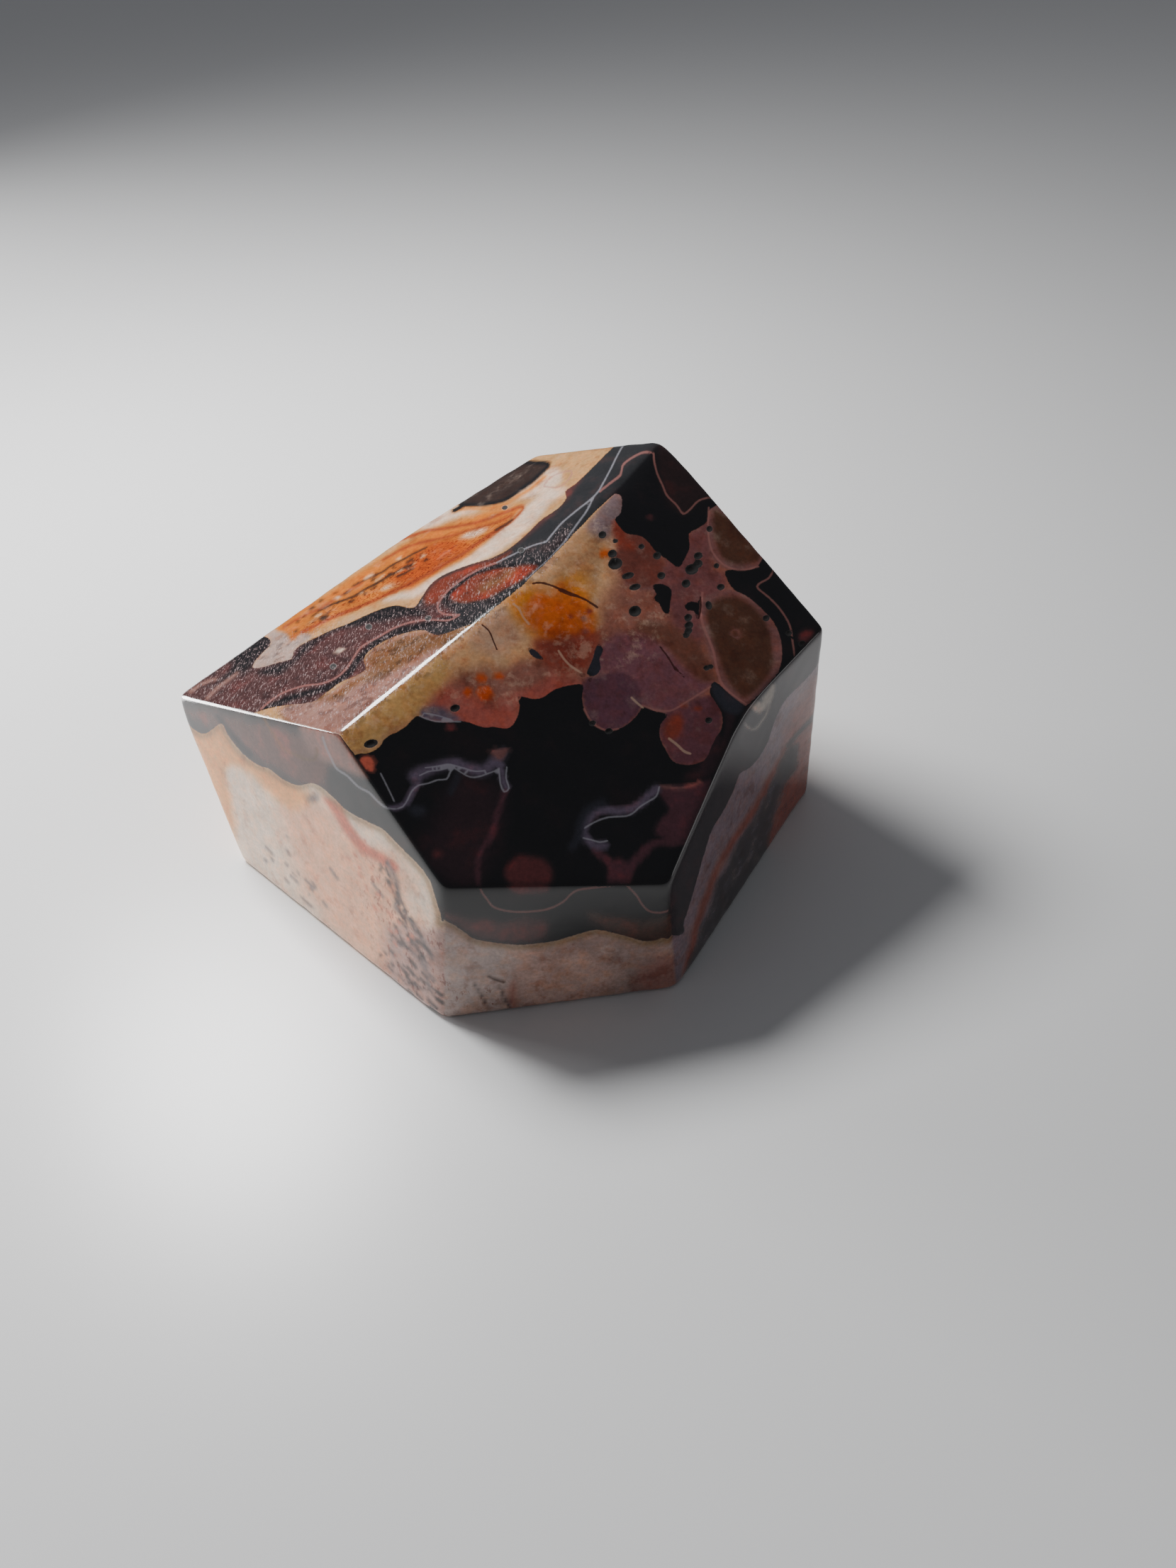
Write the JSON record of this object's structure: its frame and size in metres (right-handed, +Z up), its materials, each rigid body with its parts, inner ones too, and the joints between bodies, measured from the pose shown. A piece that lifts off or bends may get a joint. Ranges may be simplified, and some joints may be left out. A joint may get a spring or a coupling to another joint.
{
  "type": "sardonyx freeform",
  "caption": "Polished freeform stone with ground flat facets, soft edges and banded brown, honey, pink and black markings; a display piece that rests on its flat base.",
  "frame": {"origin": "middle of the stone's bounding box at the plane it rests on", "axes": "+Z up from the flat base; +X along the longest extent, from the thin left tip to the right foot; +Y to the back, away from the sloping front face"},
  "size_m": [0.0756, 0.0586, 0.0416],
  "materials": {
    "polished_chalcedony": "high gloss polish over banded, nodular chalcedony, with fine scratches and small open pits"
  },
  "bodies": {
    "root": {"stone": "polished_chalcedony"}
  },
  "joints": []
}
